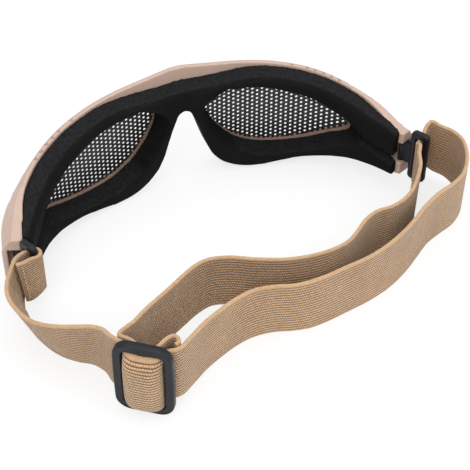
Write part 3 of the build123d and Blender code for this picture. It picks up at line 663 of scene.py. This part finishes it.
# The shell's edges: share of half width, then shares of height of the upper and the lower edge
EDGES = [
    (0, 1, 0.642), (0.047, 0.996, 0.542), (0.082, 0.987, 0.405), (0.118, 0.979, 0.263),
    (0.18, 0.966, 0.119), (0.26, 0.956, 0.032), (0.33, 0.946, 0), (0.41, 0.932, 0),
    (0.51, 0.903, 0.039), (0.65, 0.839, 0.082), (0.78, 0.743, 0.105), (0.88, 0.655, 0.113),
    (0.95, 0.579, 0.117), (1, 0.526, 0.117),
]
SHELL_HEIGHT, WALL, FOOT_DEPTH = 51.3, 3.2, 0.3
WINDOW_POINTS = [Vector((u * HALF_WIDTH, v * SHELL_HEIGHT)) for u, v in WINDOW_SHARES]
WINDOW_SIDES = list(zip(WINDOW_POINTS, WINDOW_POINTS[1:] + WINDOW_POINTS[:1]))
ARCH_LIFT, ARCH_FADE, ARCH_TOP = 3.6, 10.0, 3.0
ARCH_SIDE, ARCH_SIDE_FADE, ARCH_END = 4.2, 8.5, 13
FOAM_DEPTH, FOAM_END = 8.5, 61.5
FLARE, NOSE_FLARE, FLARE_REACH = 1.2, 4.2, 7.0
END_REACH, END_START = 4.8, 52.0


def edge_heights(x):
    """Heights of the shell's upper and lower edges at a distance from the mirror plane."""
    share = x / HALF_WIDTH
    (a, top_a, low_a), (b, top_b, low_b) = next(ends for ends in zip(EDGES, EDGES[1:]) if share <= ends[1][0])
    t = (share - a) / (b - a)
    return (top_a + (top_b - top_a) * t) * SHELL_HEIGHT, (low_a + (low_b - low_a) * t) * SHELL_HEIGHT


def arched(place, extra=0.0):
    """Point near the nose notch lifted, so that the notch is round at its top."""
    x = abs(place.x) / MM
    if x > ARCH_END:
        return place
    above = place.z / MM + FOOT_DEPTH - edge_heights(x)[1]
    lift = ARCH_LIFT * (0.5 + 0.5 * ease(x / ARCH_TOP)) + extra
    lift *= (1 - ease((x - ARCH_SIDE) / ARCH_SIDE_FADE)) * (1 - ease(above / ARCH_FADE))
    return place + Vector((0, 0, lift * MM))


def nearest_side(point):
    """Distance from the nearest side of the lens opening, and the direction of that side."""
    found = []
    for a, b in WINDOW_SIDES:
        t = min(1.0, max(0.0, (point - a).dot(b - a) / (b - a).length_squared))
        found.append(((point - (a + (b - a) * t)).length, (b - a).normalized()))
    return min(found, key=lambda side: side[0])


def depth_in_shell(x, y):
    """How far a plan point lies inside the shell's outer face."""
    point = Vector((abs(x), y))
    from_front = point - Vector(FRONT_CENTRE)
    centre, radius = arc(math.atan2(from_front.x, -from_front.y) > START)
    return radius - (point - Vector(centre)).length


def lengthened(place):
    """Foam point near the fork moved along the shell, so that the foam ends closer to it."""
    centre = Vector(SIDE_CENTRE)
    arm = Vector((abs(place.x) / MM, place.y / MM)) - centre
    angle = math.degrees(math.atan2(arm.x, -arm.y))
    move = END_REACH * ease((angle - END_START) / (FOAM_END - END_START)) / arm.length
    at = centre + Vector(turned(math.degrees(move), arm.x, arm.y))
    return Vector((math.copysign(at.x * MM, place.x), at.y * MM, place.z))


def flared(place):
    """Foam point moved away from the lens opening, more towards the face and towards the nose."""
    gap, way = nearest_side(Vector((abs(place.x) / MM, place.z / MM + FOOT_DEPTH)))
    if gap >= FLARE_REACH:
        return place
    out = Vector((way.y, -way.x))
    inward = depth_in_shell(place.x / MM, place.y / MM) - WALL
    deep = min(1.0, max(0.0, inward / FOAM_DEPTH))
    nose = min(1.0, max(0.0, -out.x))
    move = out * (FLARE + (NOSE_FLARE - FLARE) * nose) * deep * (1 - gap / FLARE_REACH)
    return place + Vector((move.x if place.x > 0 else -move.x, 0, move.y)) * MM


# Perforated screens
HOLE_COLUMN, HOLE_ROW, HOLE_HALF = 1.9, 1.98, (0.52, 0.59)
SCREEN_DEPTHS, SCREEN_LAP, HOLE_SIDES = (1.15, 1.5), 0.9, 12


def plan_y(x, depth):
    """Rearward place of the face this deep in the shell, at a distance from the mirror plane."""
    (cx, cy), radius = arc(x >= (FRONT_RADIUS - depth) * math.sin(START))
    return cy - math.sqrt((radius - depth) ** 2 - (x - cx) ** 2)


def in_window(point):
    """Whether a point lies in the lens opening or within the lap round it."""
    inside = False
    for a, b in WINDOW_SIDES:
        if (a.y > point.y) != (b.y > point.y) and point.x < a.x + (b.x - a.x) * (point.y - a.y) / (b.y - a.y):
            inside = not inside
    return inside or nearest_side(point)[0] < SCREEN_LAP


def screen(side, node, name):
    """Perforated sheet: six-sided cells, each with an oval hole, as far as under the rim of the opening."""
    bm = bmesh.new()
    found = {}

    def pair(x, z):
        key = (round(x, 3), round(z, 3))
        if key not in found:
            found[key] = [bm.verts.new((side * x * MM, plan_y(x, depth) * MM, (z - FOOT_DEPTH) * MM))
                          for depth in SCREEN_DEPTHS]
        return found[key]

    # The six-sided cells share their corners, so that they fill the sheet
    tip = (HOLE_COLUMN + HOLE_ROW ** 2 / 4 / HOLE_COLUMN) / 2
    side_x, side_z = HOLE_COLUMN - tip, HOLE_ROW / 2
    corners = [(tip, 0), (side_x, side_z), (-side_x, side_z), (-tip, 0), (-side_x, -side_z), (side_x, -side_z)]
    outline = []
    for (ax, az), (bx, bz) in zip(corners, corners[1:] + corners[:1]):
        outline += [(ax, az), ((ax + bx) / 2, (az + bz) / 2)]
    edges = {}
    for i in range(int(HALF_WIDTH / HOLE_COLUMN)):
        for j in range(int(SHELL_HEIGHT / HOLE_ROW)):
            x, z = (i + 0.5) * HOLE_COLUMN, (j + (i % 2) / 2) * HOLE_ROW
            if not in_window(Vector((x, z))):
                continue
            rim = [pair(x + dx, z + dz) for dx, dz in outline]
            hole = []
            for dx, dz in outline:
                a = math.atan2(dz, dx)
                hole.append(pair(x + HOLE_HALF[0] * math.cos(a), z + HOLE_HALF[1] * math.sin(a)))
            for k in range(HOLE_SIDES):
                m = (k + 1) % HOLE_SIDES
                bm.faces.new((rim[k][0], rim[m][0], hole[m][0], hole[k][0]))
                bm.faces.new((rim[m][1], rim[k][1], hole[k][1], hole[m][1]))
                bm.faces.new((hole[k][0], hole[m][0], hole[m][1], hole[k][1]))
                edge = frozenset((id(rim[k][0]), id(rim[m][0])))
                edges.setdefault(edge, []).append((rim[k], rim[m]))
    for sides in edges.values():
        if len(sides) == 1:
            (a, b), (c, d) = sides[0]
            bm.faces.new((a, b, d, c))
    bmesh.ops.recalc_face_normals(bm, faces=bm.faces)
    obj = built(name, bm)
    give(obj, MESH)
    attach(obj, "goggles")
    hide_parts(node)


screen(1, "left_mesh_lens", "left_mesh_screen")
screen(-1, "right_mesh_lens", "right_mesh_screen")


# Face foam
FOAM_VOXEL, FOAM_SMOOTHING = 0.55, 7
WAVES, WAVE_FADE = ((90, 0.25), (260, 0.08)), 4


def foam_piece():
    """Foam pad with soft edges and slow waves, spread round the lens openings and longer at its ends."""
    obj = linked("face_foam", nodes["foam_pad"].data.copy())
    modified(obj, "REMESH", mode="VOXEL", voxel_size=FOAM_VOXEL * MM)
    modified(obj, "SMOOTH", factor=0.5, iterations=FOAM_SMOOTHING)
    settle(obj)
    moves = [(v.normal.copy(), v.co.copy()) for v in obj.data.vertices]
    for v, (normal, place) in zip(obj.data.vertices, moves):
        wave = sum(noise.noise(place * scale) * height for scale, height in WAVES)
        wave *= min(1.0, place.z / MM / WAVE_FADE)
        v.co = arched(lengthened(flared(place))) + normal * wave * MM
    smooth_faces(obj)
    give(obj, FOAM)
    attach(obj, "goggles")
    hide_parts("foam_pad")


foam_piece()


# Shell with soft moulded edges
BEVEL_WIDTH, BEVEL_DROP, END_WALL, THICKENING = 1.4, 2.4, 7.0, (44.0, 60.0)
SWELL, SWELL_START, SWELL_PEAK, SWELL_END_SHARE = 2.4, 33.0, 54.0, 0.1
VENT_COUNT, OLD_VENTS, NEW_VENTS = 6, (42.0, 63.0), (21.0, 36.5)
PLUG_SIZE, PLUG_DEPTH, PLUG_REACH, PLUG_SMOOTHING = (1.3, 4.0, 1.84), 0.95, 3.5, 90
VENT_INSET, VENT_RADIUS, VENT_DEPTH, VENT_SHARE, VENT_SIDES = 2.25, 0.8, 5, 0.85, 16
WELD, SHELL_VOXEL, SHELL_SMOOTHING, SHELL_LIFT = 0.002, 0.32, 4, 1.5


def vent_places(first, last):
    """Angle and side of each vent of both rows."""
    for i in range(VENT_COUNT):
        angle = first + (last - first) * i / (VENT_COUNT - 1)
        for side in (1, -1):
            yield angle, side


def rim_frame(angle, side, out, drop=0.0):
    """Frame at the shell's upper edge: X along it, Y inwards, Z up; mirrored on the wearer's right."""
    x, y = shell_point(angle, out)
    z = edge_heights(x)[0] - drop - FOOT_DEPTH
    place = Matrix.Translation((x * MM, y * MM, z * MM)) @ Matrix.Rotation(math.radians(angle), 4, "Z")
    return Matrix.Diagonal((side, 1, 1, 1)) @ place


def plug_vents(obj):
    """Fills the vents of the copied solid with blocks in its bevel, and returns the middles of their tops."""
    bm = bmesh.new()
    bm.from_mesh(obj.data)
    bmesh.ops.remove_doubles(bm, verts=bm.verts, dist=WELD * MM)
    plugs = []
    for angle, side in vent_places(*OLD_VENTS):
        wall = WALL + (END_WALL - WALL) * ease((angle - THICKENING[0]) / (THICKENING[1] - THICKENING[0]))
        fall = max(0.0, (angle - SWELL_PEAK) / (SIDE_END - SWELL_PEAK))
        swell = SWELL * ease((angle - SWELL_START) / (SWELL_PEAK - SWELL_START))
        swell *= 1 - (1 - SWELL_END_SHARE) * fall * fall
        width, drop = BEVEL_WIDTH * wall / WALL, BEVEL_DROP * wall / WALL + swell
        place = rim_frame(angle, side, (swell - width) / 2, drop / 2)
        place = place @ Matrix.Rotation(math.atan2(drop, width + swell), 4, "X")
        place = place @ Matrix.Translation((0, 0, -PLUG_DEPTH * MM))
        bmesh.ops.create_cube(bm, size=1, matrix=place @ Matrix.Diagonal((*[v * MM for v in PLUG_SIZE], 1)))
        plugs.append(place @ Vector((0, 0, PLUG_DEPTH * MM)))
    bm.to_mesh(obj.data)
    bm.free()
    return plugs


def drill_vents(obj):
    """Cuts the rows of small oval vents into the upper edge."""
    bm = bmesh.new()
    for angle, side in vent_places(*NEW_VENTS):
        bmesh.ops.create_cone(bm, cap_ends=True, segments=VENT_SIDES, radius1=VENT_RADIUS * MM,
                              radius2=VENT_RADIUS * MM, depth=VENT_DEPTH * MM,
                              matrix=rim_frame(angle, side, -VENT_INSET) @ Matrix.Diagonal((VENT_SHARE, 1, 1, 1)))
    bmesh.ops.recalc_face_normals(bm, faces=bm.faces)
    cutter = built("vent_cutters", bm)
    modified(obj, "BOOLEAN", object=cutter, operation="DIFFERENCE", solver="EXACT")
    settle(obj)
    bpy.data.objects.remove(cutter)


def moulded_shell():
    """Shell with soft edges, a round nose arch and its vents."""
    obj = linked("moulded_shell", nodes["frame"].data.copy())
    plugs = plug_vents(obj)
    modified(obj, "REMESH", mode="VOXEL", voxel_size=SHELL_VOXEL * MM)
    modified(obj, "SMOOTH", factor=0.5, iterations=SHELL_SMOOTHING)
    settle(obj)
    group = obj.vertex_groups.new(name="plugs")
    near = [v.index for v in obj.data.vertices if min((v.co - plug).length for plug in plugs) < PLUG_REACH * MM]
    group.add(near, 1.0, "REPLACE")
    modified(obj, "SMOOTH", factor=0.5, iterations=PLUG_SMOOTHING, vertex_group="plugs")
    settle(obj)
    for v in obj.data.vertices:
        v.co = arched(v.co, SHELL_LIFT)
    drill_vents(obj)
    smooth_faces(obj)
    give(obj, TAN)
    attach(obj, "goggles")
    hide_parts("frame")


moulded_shell()


# Strap slider
CORNER_STEPS, SIDE_STEPS, BAR_STEPS = 9, 14, 24
OUTER_CORNER, OUTER_BOW, INNER_CORNER, INNER_BOW = 5.5, 0.35, 1.6, 0.1
BAR_POWER, DISH, DISH_HALF = 0.55, 0.16, 0.75


def rounded(half_x, half_z, radius, bow):
    """Rounded rectangle as points; its long sides bow out to their middle."""

    def corner(number, turns):
        sx, sz = ((1, 1), (-1, 1), (-1, -1), (1, -1))[number % 4]
        a = math.radians(90) * turns
        return sx * (half_x - bow - radius) + radius * math.cos(a), sz * (half_z - radius) + radius * math.sin(a)

    points = []
    for quarter in range(4):
        points += [corner(quarter, quarter + k / CORNER_STEPS) for k in range(CORNER_STEPS + 1)]
        (x, z), (ex, ez) = points[-1], corner(quarter + 1, quarter + 1)
        for k in range(1, SIDE_STEPS):
            t = k / SIDE_STEPS
            points.append((x + (ex - x) * t, z + (ez - z) * t))
    bowed = []
    for x, z in points:
        out = bow * max(0.0, 1 - (z / half_z) ** 2) * min(1.0, abs(x) / (half_x - bow))
        bowed.append((x + math.copysign(out, x), z))
    return bowed


def slider_piece():
    """Slider with rounded, dished bars: a ring swept between two outlines, and its centre bar."""
    outer = rounded(SLIDER_LENGTH / 2, SLIDER_WIDTH / 2, OUTER_CORNER, OUTER_BOW)
    inner = rounded(SLIDER_LENGTH / 2 - SLIDER_BAR, SLIDER_WIDTH / 2 - SLIDER_BAR, INNER_CORNER, INNER_BOW)
    half = SLIDER_THICKNESS / 2
    bm = bmesh.new()

    def placed(x, y, z):
        px, py = at_slider(x, y)
        return (px * MM, py * MM, (z + SLIDER_WIDTH / 2) * MM)

    def section(low, high):
        """Ring of points round a bar from its inner to its outer side."""
        ring = []
        for k in range(BAR_STEPS):
            a = 2 * math.pi * k / BAR_STEPS
            c, d = math.cos(a), math.sin(a)
            across = math.copysign(abs(c) ** BAR_POWER, c)
            deep = math.copysign(abs(d) ** BAR_POWER, d)
            deep *= 1 - DISH * max(0.0, 1 - (across / DISH_HALF) ** 2)
            share = (across + 1) / 2
            ring.append((low[0] + (high[0] - low[0]) * share, deep * half, low[1] + (high[1] - low[1]) * share))
        return ring

    def skin(rings, closed):
        """Faces between the rings, in a loop or with an end face at each end."""
        rows = [[bm.verts.new(placed(*p)) for p in ring] for ring in rings]
        pairs = list(zip(rows, rows[1:] + rows[:1])) if closed else list(zip(rows, rows[1:]))
        for a, b in pairs:
            for k in range(len(a)):
                m = (k + 1) % len(a)
                bm.faces.new((a[k], a[m], b[m], b[k])).smooth = True
        if not closed:
            bm.faces.new(rows[0])
            bm.faces.new(rows[-1][::-1])

    skin([section(i, o) for i, o in zip(inner, outer)], True)
    centre = SLIDER_CENTRE_BAR / 2
    reach = SLIDER_WIDTH / 2 - SLIDER_BAR / 2
    skin([section((-centre, z), (centre, z)) for z in (-reach, 0, reach)], False)
    bmesh.ops.recalc_face_normals(bm, faces=bm.faces)
    obj = built("slider_with_dished_bars", bm)
    give(obj, HARDWARE)
    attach(obj, "slider")
    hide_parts("strap_slider")


slider_piece()


# Stitches at the sewn end
STITCH_COUNT, STITCH_MARGIN, STITCH_SHARE, SEAM_FROM_END = 11, 0.08, 0.40, 1.5
STITCH_LIFT, STITCH_LEAN, STITCH_DRIFT = 0.12, 0.12, 0.08
THREAD_RADIUS, THREAD_TIP, THREAD_FLATNESS, THREAD_BOW, THREAD_SUNK = 0.27, 0.02, 0.8, 0.14, 0.16
THREAD_STEPS, THREAD_SIDES = 8, 8


def stitch_row():
    """Row of short thick stitches across the strap, beside the end of the sewn fold."""
    first, last = spans["left_fold"]
    at = next(i for i in range(first, last) if lengths[i] - lengths[first] > SEAM_FROM_END)
    low, high = edges_of(curve[at])
    along = (middles[at + 1] - middles[at - 1]).normalized()
    up_way = (high - low).normalized()
    out = along.cross(up_way).normalized()
    tilt = up_way * math.cos(STITCH_LEAN) + along * math.sin(STITCH_LEAN)
    used = 1 - 2 * STITCH_MARGIN
    half = (high - low).length * used / STITCH_COUNT * STITCH_SHARE
    bm = bmesh.new()
    for k in range(STITCH_COUNT):
        share = STITCH_MARGIN + used * (k + 0.5) / STITCH_COUNT
        centre = low + (high - low) * share + out * (STRAP_THICKNESS / 2 + STITCH_LIFT)
        centre += along * random.uniform(-STITCH_DRIFT, STITCH_DRIFT)
        rings = []
        for j in range(THREAD_STEPS + 1):
            t = j / THREAD_STEPS * 2 - 1
            radius = THREAD_RADIUS * math.sqrt(max(0.0, 1 - abs(t) ** 4)) + THREAD_TIP
            middle = centre + tilt * (half * t) + out * (THREAD_BOW * (1 - t * t) - THREAD_SUNK)
            ring = []
            for m in range(THREAD_SIDES):
                a = 2 * math.pi * m / THREAD_SIDES
                p = middle + (along * math.cos(a) + out * math.sin(a) * THREAD_FLATNESS) * radius
                ring.append(bm.verts.new(p * MM))
            rings.append(ring)
        for a, b in zip(rings, rings[1:]):
            for m in range(THREAD_SIDES):
                n = (m + 1) % THREAD_SIDES
                bm.faces.new((a[m], a[n], b[n], b[m])).smooth = True
        bm.faces.new(rings[0][::-1])
        bm.faces.new(rings[-1])
    bmesh.ops.recalc_face_normals(bm, faces=bm.faces)
    obj = built("seam_stitches", bm)
    give(obj, THREAD)
    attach(obj, "left_loop")
    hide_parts("strap_left_stitching")


stitch_row()


# Floor, world and light
FLOOR_REACH, FLOOR_HEIGHT, FLOOR_GLOW = 3.0, -0.00005, 0.75


def stage_floor():
    """White floor, part of it a glow that only the camera sees."""
    bm = bmesh.new()
    bm.faces.new([bm.verts.new((x * FLOOR_REACH, y * FLOOR_REACH, FLOOR_HEIGHT))
                  for x, y in ((-1, -1), (1, -1), (1, 1), (-1, 1))])
    floor = built("floor", bm)
    g = Graph("floor_white")
    g.shader.inputs["Base Color"].default_value = (0.82, 0.82, 0.82, 1)
    g.shader.inputs["Roughness"].default_value = 0.9
    g.shader.inputs["Specular IOR Level"].default_value = 0.0
    glow = g.node("ShaderNodeEmission")
    glow.inputs["Color"].default_value = (1, 1, 1, 1)
    glow.inputs["Strength"].default_value = 1.0
    blend = g.node("ShaderNodeMixShader")
    path = g.node("ShaderNodeLightPath")
    share = g.math("MULTIPLY", path.outputs["Is Camera Ray"], FLOOR_GLOW)
    g.link(share, blend.inputs[0])
    g.link(g.shader.outputs[0], blend.inputs[1])
    g.link(glow.outputs[0], blend.inputs[2])
    g.link(blend.outputs[0], g.output.inputs["Surface"])
    give(floor, g.material)


stage_floor()
world = bpy.data.worlds.new("studio")
bpy.context.scene.world = world
world.use_nodes = True
background = world.node_tree.nodes["Background"]
background.inputs["Color"].default_value = (1, 1, 1, 1)
background.inputs["Strength"].default_value = 0.75


def area_light(name, place, aim, size, power):
    """Rectangular light at a place, turned to what it aims at."""
    light = bpy.data.lights.new(name, "AREA")
    light.shape = "RECTANGLE"
    light.size, light.size_y = size
    light.energy = power
    obj = linked(name, light)
    obj.location = place
    obj.rotation_mode = "QUATERNION"
    obj.rotation_quaternion = (Vector(aim) - Vector(place)).to_track_quat("-Z", "Y")


area_light("key", (0.45, 0.75, 0.95), (0, 0.04, 0.02), (0.7, 0.7), 7.5)
area_light("fill", (-0.7, 0.5, 0.7), (0, 0.05, 0.02), (0.8, 0.8), 3.5)
area_light("top", (0, -0.1, 1.1), (0, 0.04, 0), (0.9, 0.9), 4)

bpy.context.scene.view_settings.view_transform = "Standard"
